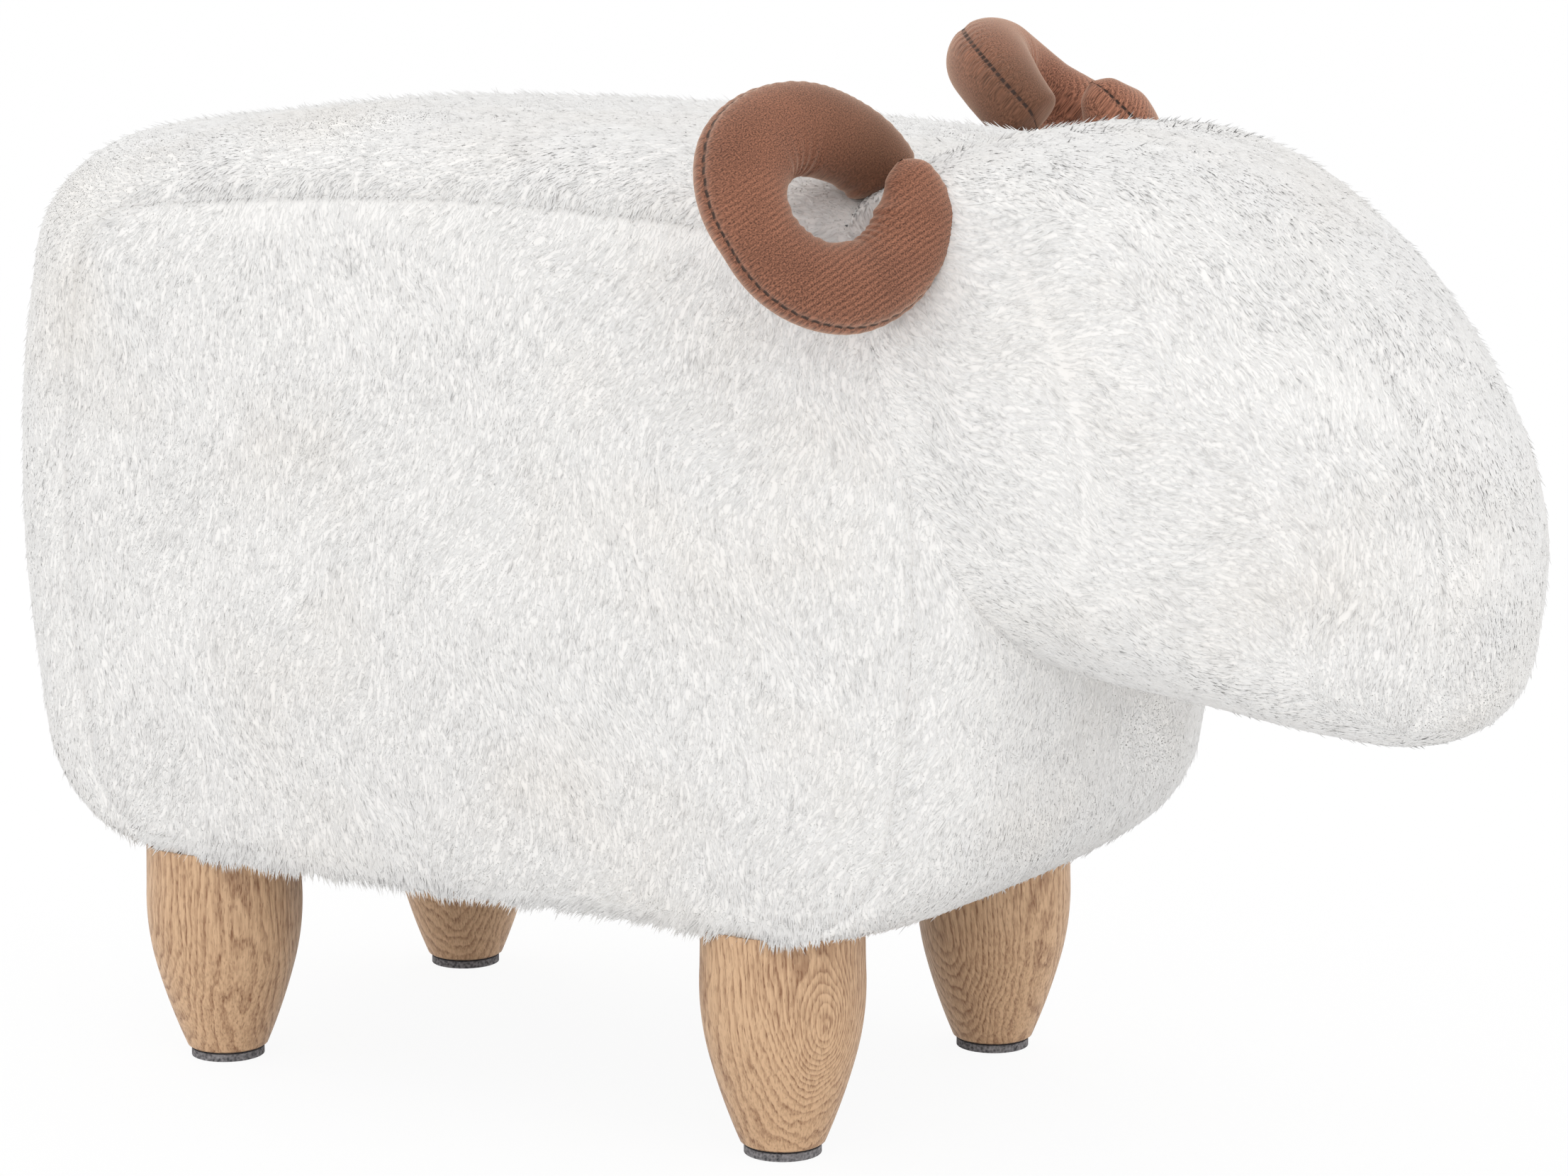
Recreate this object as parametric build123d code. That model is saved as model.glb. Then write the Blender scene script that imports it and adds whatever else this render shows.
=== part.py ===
from build123d import *
import os
from math import cos, radians, sin

# Upholstered footstool in the shape of a ram: a plywood box padded with foam under a plush cover,
# a stuffed head with two curled velvet horns, and four turned legs on hanger bolts.
#
# Millimetres. +X points to the nose, +Y to the animal's left, +Z up. The origin lies on the floor,
# under the middle of the whole stool. Right and left are the animal's own.

# Whole stool
body_length = 492.0  # rump to chest
head_reach = 156.0  # chest to nose
body_half_width = 119.0  # centre line to the flank seam
body_top = 398.0  # crown of the seat above the floor
rear = -(body_length + head_reach) / 2
front = rear + body_length

# Legs and their felt pads
leg_height = 88.0
leg_radius = 32.2
leg_foot_bevel = 0.8
pad_thickness = 4.0
pad_radius = 15.2
foot_share = 0.51  # radius at the floor end, as a share of the leg's radius
belly_share = 0.888  # radius at the belly's start
neck_share = 0.99  # radius at the leg's top
foot_bulge_share = 0.2  # lower curve's swell, in radii lost from widest to belly
belly_height_share = 0.398
widest_height_share = 0.80

# Plush cover: one thickness for backing and pile
cover_thickness = 5.0
dust_cover_thickness = 1.0
hem_width = 30.0  # turned in under the base board
hem_reach = 14.0  # dust cover's overlap onto the hem
foam_clearance = 0.3
leg_top = pad_thickness + leg_height
body_bottom = leg_top + dust_cover_thickness

# Body's rounding from the centre line to the flank seam
rump_roll = 54.0
chest_roll = 37.0
seat_roll = 30.0
rump_bow = 10.0  # how far the rump bulges between its corners
chest_bow = 10.0
seat_bow = 9.0
rump_top_radius = 64.0
chest_top_radius = 70.0
chest_bottom_radius = 62.0
rump_bottom_radius = 58.0
rump_top_seam_share = 0.45  # corner radius left at the seam
chest_top_seam_share = 0.6
chest_bottom_seam_share = 0.8
rump_bottom_seam_share = 0.75
roll_power = 2.7
body_stations_share = (0, 0.35, 0.6, 0.78, 0.9, 0.96, 0.99, 1)
flank_crown = 11.0  # how far the flank bulges past its seam
flank_power = 2.4
flank_stations_share = (1, 0.9, 0.7, 0.45)

# Plywood box
frame_rear_gap = 3.0  # start of the rump's bottom corner to the box
frame_front_gap = 1.0  # start of the chest's bottom corner to the box
side_padding = 11.0  # flank seam to the box
seat_padding = 47.0  # crown of the seat to the box
base_thickness = 15.0
base_corner_share = 0.88  # of the rump's roll
seat_thickness = 12.0
side_thickness = 9.0
end_thickness = 12.0
rib_thickness = 12.0
post_width = 15.0
frame_rear = rear + rump_bow + rump_bottom_radius + frame_rear_gap
frame_front = front - chest_bow - chest_bottom_radius - frame_front_gap
frame_half_width = body_half_width - side_padding
frame_bottom = body_bottom + cover_thickness
frame_top = body_top - seat_padding
inner_half_width = frame_half_width - side_thickness
wall_bottom = frame_bottom + base_thickness
wall_top = frame_top - seat_thickness
frame_length = frame_front - frame_rear
frame_middle = (frame_front + frame_rear) / 2

# Hardware
bolt_radius = 4.0
bolt_length = 66.0
bolt_in_leg = 38.0
bolt_clearance = 0.2
nut_flange_radius = 10.0
nut_flange_thickness = 1.5
nut_barrel_radius = 5.2
nut_barrel_length = 10.0
nut_prong_size = 1.5
nut_prong_length = 6.0
nut_prong_circle = 8.0
nut_prongs = 4
nut_gap = 1.5  # flange to the box's side and to the corner post
leg_end_gap = end_thickness + post_width + nut_gap + nut_flange_radius
leg_rear_x = frame_rear + leg_end_gap
leg_front_x = frame_front - leg_end_gap
leg_y = inner_half_width - nut_gap - nut_flange_radius
screw_radius = 2.0
screw_length = 45.0
screw_head_radius = 4.0
screw_head_height = 2.5
staple_wire = 1.0
staple_crown = 10.0
staple_leg = 10.0
staples_long_side = 6
staples_short_side = 3
staple_edge = 10.0  # dust cover's edge to the staples
staple_leg_gap = 14.0  # leg to the nearest staple
staple_run_long = leg_front_x - leg_rear_x - 2 * (leg_radius + staple_leg_gap)
staple_run_short = 2 * (leg_y - leg_radius - staple_leg_gap)

# Head, seen from the side at its centre line
neck_depth = 41.0  # chest to the rear limit of the head's drawn-in sides
neck_x = front - neck_depth
head_eye_drop = 97.0  # crown of the seat to the height about which the sides draw in
head_eye_height = body_top - head_eye_drop
head_half_width = 117.0
head_crown = 7.0
head_power = 2.0
head_crown_power = 2.2
head_length_draw_share = 0.64
head_top_draw_share = 0.23
head_chin_draw_share = 0.55
head_stations_share = (0, 0.3, 0.55, 0.75, 0.88, 0.96, 1)
head_cap_stations_share = (0.8, 0.5)
gusset_half_width = 50.0
# Along: share of the head's reach in front of the chest. Up: share of the body's top height.
head_outline_shares = (
    (-0.462, 0.972),
    (-0.049, 1.001),
    (0.308, 0.961),
    (0.604, 0.883),
    (0.915, 0.724),
    (0.978, 0.646),
    (0.970, 0.505),
    (0.890, 0.444),
    (0.731, 0.432),
    (0.346, 0.451),
    (-0.071, 0.469),
    (-0.269, 0.542),
    (-0.365, 0.730),
    (-0.429, 0.869),
)

# Horns: a tube that winds once round and overlaps its own root
horn_ring_radius = 33.0
horn_tube_radius = 18.3
horn_cloth = 1.5
horn_stations = 20
horn_step_out = 15.0  # the root lies this far in, and the tip this far out
horn_places_share = (0, 0.15, 0.35, 0.5, 0.7, 0.9, 1)
horn_ring_shares = (1.007, 0.872, 1.051, 0.936, 1.011, 0.916, 0.803)
horn_tube_shares = (0.773, 0.898, 1.004, 0.792, 0.908, 0.805, 0.294)
horn_step_places_share = (0, 0.2, 0.8, 1)
horn_step_shares = (-0.96, -0.51, 0.35, 0.93)
right_horn_setback = 63.9  # chest to the ring's centre
right_horn_out = 18.6  # side of the head to the ring's centre
right_horn_drop = 24.2  # crown of the seat to the ring's centre
right_horn_facing_shares = (0.761, 0.546, 0.352)  # forwards, outwards, upwards
right_horn_start_angle = 15.0
right_horn_end_angle = 384.5
left_horn_setback = 104.6
left_horn_out = 8.6
left_horn_drop = 1.0
left_horn_facing_shares = (0.538, 0.311, 0.783)
left_horn_start_angle = 3.0
left_horn_end_angle = 350.3

overrun = 2 * (body_length + head_reach)


def between(place, places, values):
    """Straight interpolation in a table of places and values."""
    for index in range(len(places) - 1):
        if place <= places[index + 1]:
            part = (place - places[index]) / (places[index + 1] - places[index])
            return values[index] + part * (values[index + 1] - values[index])
    return values[-1]


def rolled(share, power):
    """How far a crowned form has drawn in: 0 at its centre line, 1 at its edge."""
    return 1 - (1 - share**power) ** (1 / power)


def block(x_low, x_high, y_low, y_high, z_low, z_high):
    """Box between two corners."""
    size = (x_high - x_low, y_high - y_low, z_high - z_low)
    middle = ((x_high + x_low) / 2, (y_high + y_low) / 2, (z_high + z_low) / 2)
    return Pos(*middle) * Box(*size)


def drawn(points, share):
    """An outline's points moved towards their common centre."""
    centre_x = sum(x for x, _ in points) / len(points)
    centre_z = sum(z for _, z in points) / len(points)
    return [(centre_x + (x - centre_x) * share, centre_z + (z - centre_z) * share) for x, z in points]


def section(points, y):
    """Closed face at one y of arcs through an even number of XZ points; level ones make a line."""
    edges = []
    count = len(points)
    for index in range(0, count, 2):
        first, middle, last = ((x, y, z) for x, z in (points[(index + step) % count] for step in range(3)))
        level = first[2] == middle[2] == last[2]
        edges.append(Line(first, last) if level else ThreePointArc(first, middle, last))
    return Face(Wire(edges))


def body_points(draw, inset, share=1):
    """Sixteen outline points: ends and middles of four bowed sides and four corner arcs."""
    low_x = rear + inset + rump_roll * draw
    high_x = front - inset - chest_roll * draw
    low_z = body_bottom + inset
    high_z = body_top - inset - seat_roll * draw
    inner_low_x, inner_high_x, inner_high_z = low_x + rump_bow, high_x - chest_bow, high_z - seat_bow

    def corner(radius, seam_share):
        return (radius - inset) * (1 - draw + draw * seam_share)

    rump_top = corner(rump_top_radius, rump_top_seam_share)
    chest_top = corner(chest_top_radius, chest_top_seam_share)
    chest_low = corner(chest_bottom_radius, chest_bottom_seam_share)
    rump_low = corner(rump_bottom_radius, rump_bottom_seam_share)
    cut = 1 - sin(radians(45))
    belly = (inner_low_x + rump_low, inner_high_x - chest_low)
    chest = (low_z + chest_low, inner_high_z - chest_top)
    seat = (inner_high_x - chest_top, inner_low_x + rump_top)
    rump = (inner_high_z - rump_top, low_z + rump_low)
    points = [
        (belly[0], low_z),
        (sum(belly) / 2, low_z),
        (belly[1], low_z),
        (inner_high_x - chest_low * cut, low_z + chest_low * cut),
        (inner_high_x, chest[0]),
        (high_x, sum(chest) / 2),
        (inner_high_x, chest[1]),
        (inner_high_x - chest_top * cut, inner_high_z - chest_top * cut),
        (seat[0], inner_high_z),
        (sum(seat) / 2, high_z),
        (seat[1], inner_high_z),
        (inner_low_x + rump_top * cut, inner_high_z - rump_top * cut),
        (inner_low_x, rump[0]),
        (low_x, sum(rump) / 2),
        (inner_low_x, rump[1]),
        (inner_low_x + rump_low * cut, low_z + rump_low * cut),
    ]
    return drawn(points, share)


def body_form(inset):
    """The body, crowned across the seat and bulging on both flanks, drawn in all round by inset."""
    half = body_half_width - inset
    shares = [-share for share in reversed(body_stations_share[1:])] + list(body_stations_share)
    core = loft(
        [section(body_points(rolled(abs(s), roll_power), inset), s * half) for s in shares], ruled=True
    )
    flank = loft(
        [
            section(body_points(1, inset, s), half + flank_crown * (1 - s**flank_power))
            for s in flank_stations_share
        ],
        ruled=True,
    )
    return core + flank + flank.mirror(Plane.XZ)


def head_points(draw, inset, share=1):
    """The head's outline, shortened and flattened as it nears its sides."""
    points = []
    for along, up in head_outline_shares:
        x, z = front + along * head_reach, up * body_top
        if x > neck_x:
            x = neck_x + (x - neck_x) * (1 - head_length_draw_share * draw)
        side_share = head_top_draw_share if z > head_eye_height else head_chin_draw_share
        points.append((x, head_eye_height + (z - head_eye_height) * (1 - side_share * draw)))
    shrink = 1 - 2 * inset / (body_top * (1 - head_outline_shares[-1][1] / 2))
    return drawn(points, share * shrink)


def head_form(inset):
    """The head, a swelling form that tapers to the nose, before the body is cut away."""
    half = head_half_width - inset
    right = [section(head_points(rolled(s, head_power), inset), -s * half) for s in head_stations_share]
    caps = [
        section(head_points(1, inset, s), -half - head_crown * (1 - s**head_crown_power))
        for s in head_cap_stations_share
    ]
    profile = list(reversed(right + caps))
    return loft(profile + [face.mirror(Plane.XZ) for face in reversed(profile[:-1])], ruled=True)


def horn_form(centre, facing, start_angle, end_angle, inset, last_share):
    """Left horn: one turn of a tapering tube round the facing axis, stepping outwards to its tip."""
    axis = Vector(*facing).normalized()
    upward = (Vector(0, 0, 1) - axis * axis.Z).normalized()
    forward = axis.cross(upward)

    def spot(share):
        angle = radians(start_angle + (end_angle - start_angle) * share)
        outward = forward * cos(angle) + upward * sin(angle)
        ring = horn_ring_radius * between(share, horn_places_share, horn_ring_shares)
        step = horn_step_out * between(share, horn_step_places_share, horn_step_shares)
        return Vector(*centre) + outward * ring + axis * step, outward

    nudge = 1 / horn_stations**2
    rings = []
    for station in range(horn_stations):
        share = last_share * station / (horn_stations - 1)
        place, outward = spot(share)
        along = (spot(min(share + nudge, 1))[0] - spot(max(share - nudge, 0))[0]).normalized()
        radius = horn_tube_radius * between(share, horn_places_share, horn_tube_shares) - inset
        outward = (outward - along * outward.dot(along)).normalized()
        sideways = along.cross(outward)
        rim = [
            place + (outward * cos(radians(turn)) + sideways * sin(radians(turn))) * radius
            for turn in range(0, 360, 45)
        ]
        arcs = [ThreePointArc(rim[turn], rim[turn + 1], rim[(turn + 2) % 8]) for turn in range(0, 8, 2)]
        rings.append(Face(Wire(arcs)))
    return loft(rings, ruled=True)


def leg(x, y):
    """Turned leg: narrow foot, full belly, top bored for the hanger bolt."""
    foot, belly, top = foot_share * leg_radius, belly_share * leg_radius, neck_share * leg_radius
    belly_z = pad_thickness + belly_height_share * leg_height
    widest_z = pad_thickness + widest_height_share * leg_height
    bulge = leg_radius * (1 - belly_share) * foot_bulge_share
    lower = ThreePointArc(
        (foot, 0, pad_thickness),
        ((foot + belly) / 2 + bulge, 0, (pad_thickness + belly_z) / 2),
        (belly, 0, belly_z),
    )
    upper = TangentArc(lower @ 1, (leg_radius, 0, widest_z), tangent=lower % 1)
    side = [lower, upper, Line(upper @ 1, (top, 0, leg_top))]
    outline = side + [
        Line(side[-1] @ 1, (0, 0, leg_top)),
        Line((0, 0, leg_top), (0, 0, pad_thickness)),
        Line((0, 0, pad_thickness), lower @ 0),
    ]
    solid = revolve(Face(Wire(outline)), Axis.Z)
    solid = chamfer(solid.edges().group_by(Axis.Z)[0], leg_foot_bevel)
    bore_radius = bolt_radius + bolt_clearance
    bore_height = bolt_in_leg + bolt_clearance
    bore = Pos(0, 0, leg_top - bore_height / 2) * Cylinder(bore_radius, bore_height)
    return Pos(x, y, 0) * (solid - bore)


def pad(x, y):
    """Felt disc under a leg."""
    return Pos(x, y, pad_thickness / 2) * Cylinder(pad_radius, pad_thickness)


def tee_nut(x, y):
    """Flanged nut with prongs, pressed into the base board from above, bored for the bolt."""
    flange = Pos(0, 0, nut_flange_thickness / 2) * Cylinder(nut_flange_radius, nut_flange_thickness)
    barrel = Pos(0, 0, -nut_barrel_length / 2) * Cylinder(nut_barrel_radius, nut_barrel_length)
    nut = flange + barrel
    for index in range(nut_prongs):
        prong = Pos(nut_prong_circle, 0, -nut_prong_length / 2) * Box(
            nut_prong_size, nut_prong_size, nut_prong_length
        )
        nut += Rot(0, 0, index * 360 / nut_prongs) * prong
    nut -= Cylinder(bolt_radius + bolt_clearance, 3 * nut_barrel_length)
    return Pos(x, y, wall_bottom) * nut


def hanger_bolt(x, y):
    """Headless bolt from inside the leg up through the tee nut."""
    low = leg_top - bolt_in_leg
    return Pos(x, y, low + bolt_length / 2) * Cylinder(bolt_radius, bolt_length)


def screw(x, y, z, up):
    """Countersunk wood screw whose head lies flush at z and whose shank runs up or down."""
    shank = Pos(0, 0, screw_length / 2) * Cylinder(screw_radius, screw_length)
    head = Pos(0, 0, screw_head_height / 2) * Cone(screw_head_radius, screw_radius, screw_head_height)
    turn = Rot(0, 0, 0) if up else Rot(180, 0, 0)
    return Pos(x, y, z) * (turn * (shank + head))


def staple(x, y, along_x):
    """Wire staple: crown under the dust cover, two legs up into the base board."""
    crown = Pos(0, 0, -staple_wire / 2) * Box(staple_crown, staple_wire, staple_wire)
    for side in (-1, 1):
        leg_x = side * (staple_crown - staple_wire) / 2
        crown += Pos(leg_x, 0, staple_leg / 2) * Box(staple_wire, staple_wire, staple_leg)
    return Pos(x, y, leg_top) * (crown if along_x else Rot(0, 0, 90) * crown)


def biggest(shape):
    """The largest solid of a cut, without crumbs."""
    return max(shape.solids(), key=lambda solid: solid.volume)


os.makedirs("parts", exist_ok=True)
parts = {}

# Legs, pads and the hardware on their axes
leg_places = {}
for end, x in (("rear", leg_rear_x), ("front", leg_front_x)):
    for side, y in (("right", -leg_y), ("left", leg_y)):
        leg_places[f"{end}_{side}"] = (x, y)
for name, place in leg_places.items():
    parts[f"leg_{name}"] = leg(*place)
    parts[f"foot_pad_{name}"] = pad(*place)
parts["tee_nuts"] = Compound([tee_nut(*place).solid() for place in leg_places.values()])
parts["hanger_bolts"] = Compound([hanger_bolt(*place).solid() for place in leg_places.values()])

# Plywood box with its corner posts and screws
post_x = (frame_rear + end_thickness, frame_front - end_thickness - post_width)
post_y = inner_half_width - post_width
screws = []
for end, x in zip(("rear", "front"), post_x):
    for side, sign in (("right", -1), ("left", 1)):
        centre_y = sign * (post_y + post_width / 2)
        post = block(
            x, x + post_width, centre_y - post_width / 2, centre_y + post_width / 2, wall_bottom, wall_top
        )
        pair = [
            screw(x + post_width / 2, centre_y, frame_bottom, True),
            screw(x + post_width / 2, centre_y, frame_top, False),
        ]
        screws += pair
        parts[f"corner_post_{end}_{side}"] = post - pair[0] - pair[1]
parts["frame_screws"] = Compound([item.solid() for item in screws])

base = block(frame_rear, frame_front, -frame_half_width, frame_half_width, frame_bottom, wall_bottom)
base = fillet(base.edges().filter_by(Axis.Z), base_corner_share * rump_roll)
seat = block(frame_rear, frame_front, -frame_half_width, frame_half_width, wall_top, frame_top)
parts["frame_side_right"] = block(
    frame_rear, frame_front, -frame_half_width, -inner_half_width, wall_bottom, wall_top
)
parts["frame_side_left"] = parts["frame_side_right"].mirror(Plane.XZ)
parts["frame_rear"] = block(
    frame_rear, frame_rear + end_thickness, -inner_half_width, inner_half_width, wall_bottom, wall_top
)
parts["frame_front"] = block(
    frame_front - end_thickness, frame_front, -inner_half_width, inner_half_width, wall_bottom, wall_top
)
parts["centre_rib"] = block(
    frame_middle - rib_thickness / 2,
    frame_middle + rib_thickness / 2,
    -inner_half_width,
    inner_half_width,
    wall_bottom,
    wall_top,
)

# Staples through dust cover and hem
dust_low_x = frame_rear + hem_width - hem_reach
dust_high_x = frame_front - hem_width + hem_reach
dust_half_y = frame_half_width - hem_reach + staple_edge / 2
staples = []
for sign in (-1, 1):
    for index in range(staples_long_side):
        offset = staple_run_long * (index / (staples_long_side - 1) - 1 / 2)
        staples.append(staple(frame_middle + offset, sign * (dust_half_y - staple_edge), True))
    for index in range(staples_short_side):
        offset = staple_run_short * (index / (staples_short_side - 1) - 1 / 2)
        edge_x = dust_low_x + staple_edge if sign < 0 else dust_high_x - staple_edge
        staples.append(staple(edge_x, offset, False))
parts["cover_staples"] = Compound([item.solid() for item in staples])

for name, place in leg_places.items():
    base -= Pos(*place, frame_bottom) * Cylinder(bolt_radius + bolt_clearance, 4 * base_thickness)
    base -= tee_nut(*place)
for item in screws:
    base -= item
    seat -= item
for item in staples:
    base -= item
parts["base_board"] = base
parts["seat_board"] = seat

dust_cover = block(dust_low_x, dust_high_x, -dust_half_y, dust_half_y, leg_top, body_bottom)
hem_cut = block(
    frame_rear + hem_width,
    frame_front - hem_width,
    -frame_half_width + hem_width,
    frame_half_width - hem_width,
    leg_top,
    frame_bottom,
)
bolt_ways = [
    Pos(*place, frame_bottom) * Cylinder(bolt_radius + bolt_clearance, 4 * cover_thickness)
    for place in leg_places.values()
]
for item in staples + bolt_ways:
    dust_cover -= item
parts["dust_cover"] = dust_cover

# Plush cover of the body: one shell, parted at the flank seams
body = body_form(0)
cover = body - body_form(cover_thickness) - hem_cut
for item in staples + bolt_ways:
    cover -= item
seam_y = body_half_width
beyond_right = block(-overrun, overrun, -overrun, -seam_y, -overrun, overrun)
within_seams = block(-overrun, overrun, -seam_y, seam_y, -overrun, overrun)
parts["flank_panel_right"] = biggest(cover & beyond_right)
parts["flank_panel_left"] = parts["flank_panel_right"].mirror(Plane.XZ)
parts["back_band"] = biggest(cover & within_seams)

# Foam between the box and the cover
foam = body_form(cover_thickness + foam_clearance)
foam_low = foam & block(-overrun, overrun, -overrun, overrun, -overrun, frame_top)
parts["seat_foam"] = biggest(foam & block(-overrun, overrun, -overrun, overrun, frame_top, overrun))
parts["side_foam_right"] = biggest(
    foam_low & block(-overrun, overrun, -overrun, -frame_half_width, -overrun, frame_top)
)
parts["side_foam_left"] = parts["side_foam_right"].mirror(Plane.XZ)
between_sides = block(-overrun, overrun, -frame_half_width, frame_half_width, -overrun, frame_top)
end_foam = foam_low & between_sides
parts["rump_foam"] = biggest(
    (end_foam & block(-overrun, frame_rear, -overrun, overrun, -overrun, frame_top))
)
parts["chest_foam"] = biggest(
    (end_foam & block(frame_front, overrun, -overrun, overrun, -overrun, frame_top))
)

# Head: stuffing, two side panels and the gusset between them
head = head_form(0) - body
head_shell = head - head_form(cover_thickness)
stuffing = head_form(cover_thickness + foam_clearance) - body
within_gusset = block(-overrun, overrun, -gusset_half_width, gusset_half_width, -overrun, overrun)
beyond_gusset = block(-overrun, overrun, -overrun, -gusset_half_width, -overrun, overrun)
parts["head_gusset"] = biggest(head_shell & within_gusset)
parts["head_side_right"] = biggest(head_shell & beyond_gusset)
parts["head_side_left"] = parts["head_side_right"].mirror(Plane.XZ)
parts["head_stuffing"] = biggest(stuffing)

# Horns: velvet tube and its stuffing, cut where they are sewn to the head
horn_places = {
    "right": (
        (front - right_horn_setback, head_half_width + right_horn_out, body_top - right_horn_drop),
        right_horn_facing_shares,
        right_horn_start_angle,
        right_horn_end_angle,
    ),
    "left": (
        (front - left_horn_setback, head_half_width + left_horn_out, body_top - left_horn_drop),
        left_horn_facing_shares,
        left_horn_start_angle,
        left_horn_end_angle,
    ),
}
for side, place in horn_places.items():
    tube = horn_form(*place, 0, 1)
    core = horn_form(*place, horn_cloth, 1 - 1 / horn_stations)
    cloth = biggest(tube - core - body - head)
    filling = biggest(core - body - head)
    if side == "right":
        cloth, filling = cloth.mirror(Plane.XZ), filling.mirror(Plane.XZ)
    parts[f"horn_cover_{side}"] = cloth
    parts[f"horn_stuffing_{side}"] = filling

for name, shape in parts.items():
    shape.label = name
    export_step(shape, f"parts/{name}.step")
print(len(parts), "nodes")
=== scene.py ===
import bmesh
import bpy
import numpy as np
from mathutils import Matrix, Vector


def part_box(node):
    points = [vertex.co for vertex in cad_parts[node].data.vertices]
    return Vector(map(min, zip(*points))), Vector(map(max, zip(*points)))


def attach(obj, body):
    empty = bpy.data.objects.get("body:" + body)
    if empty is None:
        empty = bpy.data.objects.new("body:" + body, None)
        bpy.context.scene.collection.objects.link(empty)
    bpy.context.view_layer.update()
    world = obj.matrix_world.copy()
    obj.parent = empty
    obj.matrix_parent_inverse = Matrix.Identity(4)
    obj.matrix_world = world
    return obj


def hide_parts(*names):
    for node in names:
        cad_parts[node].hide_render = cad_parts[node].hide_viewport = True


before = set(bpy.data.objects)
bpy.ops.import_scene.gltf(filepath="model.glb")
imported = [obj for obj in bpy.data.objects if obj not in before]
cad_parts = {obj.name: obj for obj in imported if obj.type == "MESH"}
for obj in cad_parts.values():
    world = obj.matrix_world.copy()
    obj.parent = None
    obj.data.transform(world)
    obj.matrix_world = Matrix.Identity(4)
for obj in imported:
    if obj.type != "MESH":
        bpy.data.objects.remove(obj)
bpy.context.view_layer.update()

# The view of the photograph: a long lens at seat height, in front of the animal's right flank,
# turned about thirty degrees towards its rump and tipped down a little.
camera_place = Vector((0.8658, -1.4605, 0.4986))
camera_heading = Vector((-0.50754, 0.86163, 0.0))
camera_dip = np.radians(9.84)
camera = bpy.data.objects.new("camera", bpy.data.cameras.new("camera"))
camera.data.sensor_width = 36.0
camera.data.lens = 97.65
camera.data.clip_start = 0.05
camera.data.clip_end = 50.0
camera.location = camera_place
camera_look = camera_heading * np.cos(camera_dip) - Vector((0, 0, np.sin(camera_dip)))
camera.rotation_euler = camera_look.to_track_quat("-Z", "Y").to_euler()
bpy.context.scene.collection.objects.link(camera)
bpy.context.scene.camera = camera


# Four turned rubberwood legs, each from its own blank, so that the growth rings cut the barrel at
# another angle every time. They stay the modelled solids, and get their wood here.
def put(tree, kind, values=(), **settings):
    """A node of that kind; values fills its inputs by name or number with numbers or with sockets."""
    node = tree.nodes.new("ShaderNode" + kind)
    for key, value in settings.items():
        setattr(node, key, value)
    for key, value in dict(values).items():
        if isinstance(value, bpy.types.NodeSocket):
            tree.links.new(value, node.inputs[key])
        else:
            node.inputs[key].default_value = value
    return node


def maths(tree, operation, first, second=0.0, third=0.0):
    """Output of one Math node."""
    return put(tree, "Math", {0: first, 1: second, 2: third}, operation=operation).outputs[0]


def blended(tree, share, low, high, kind="MIX"):
    """Output of one colour mix from low to high."""
    mix = put(tree, "Mix", {0: share, 6: low, 7: high}, data_type="RGBA", blend_type=kind)
    return mix.outputs[2]


def mapped(tree, value, low, high, new_low=0.0, new_high=1.0):
    """A value stretched from one range to another and kept inside it."""
    values = {0: value, 1: low, 2: high, 3: new_low, 4: new_high}
    return put(tree, "MapRange", values).outputs[0]


def stretched_noise(tree, where, scale, detail=2.0):
    """Output of one noise, with as many cells to a unit as scale says for each axis."""
    placed = put(tree, "Mapping", {"Vector": where, "Scale": scale}).outputs[0]
    return put(tree, "TexNoise", {"Vector": placed, "Scale": 1.0, "Detail": detail}).outputs[0]


def swayed(tree, tone, noise, amount):
    """A tone moved by amount times the noise's distance from its middle."""
    return maths(tree, "MULTIPLY_ADD", maths(tree, "SUBTRACT", noise, 0.5), amount, tone)


def new_group(name, inputs, outputs):
    """An empty node group with named sockets: its tree, its input sockets and its output sockets."""
    tree = bpy.data.node_groups.new(name, "ShaderNodeTree")
    for way, sockets in (("INPUT", inputs), ("OUTPUT", outputs)):
        for label, kind in sockets:
            tree.interface.new_socket(label, in_out=way, socket_type="NodeSocket" + kind)
    start = tree.nodes.new("NodeGroupInput").outputs
    return tree, start, tree.nodes.new("NodeGroupOutput").inputs


def new_finish(name, bump=0.0, **shader_values):
    """A material with its Principled shader and, when bump is set, a Bump node on its Normal."""
    material = bpy.data.materials.new(name)
    material.use_nodes = True
    tree = material.node_tree
    shader = tree.nodes["Principled BSDF"]
    for label, value in shader_values.items():
        shader.inputs[label.replace("_", " ")].default_value = value
    relief = None
    if bump:
        relief = put(tree, "Bump", {"Strength": 1.0, "Distance": bump})
        tree.links.new(relief.outputs[0], shader.inputs["Normal"])
    return material, tree, shader, relief


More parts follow.
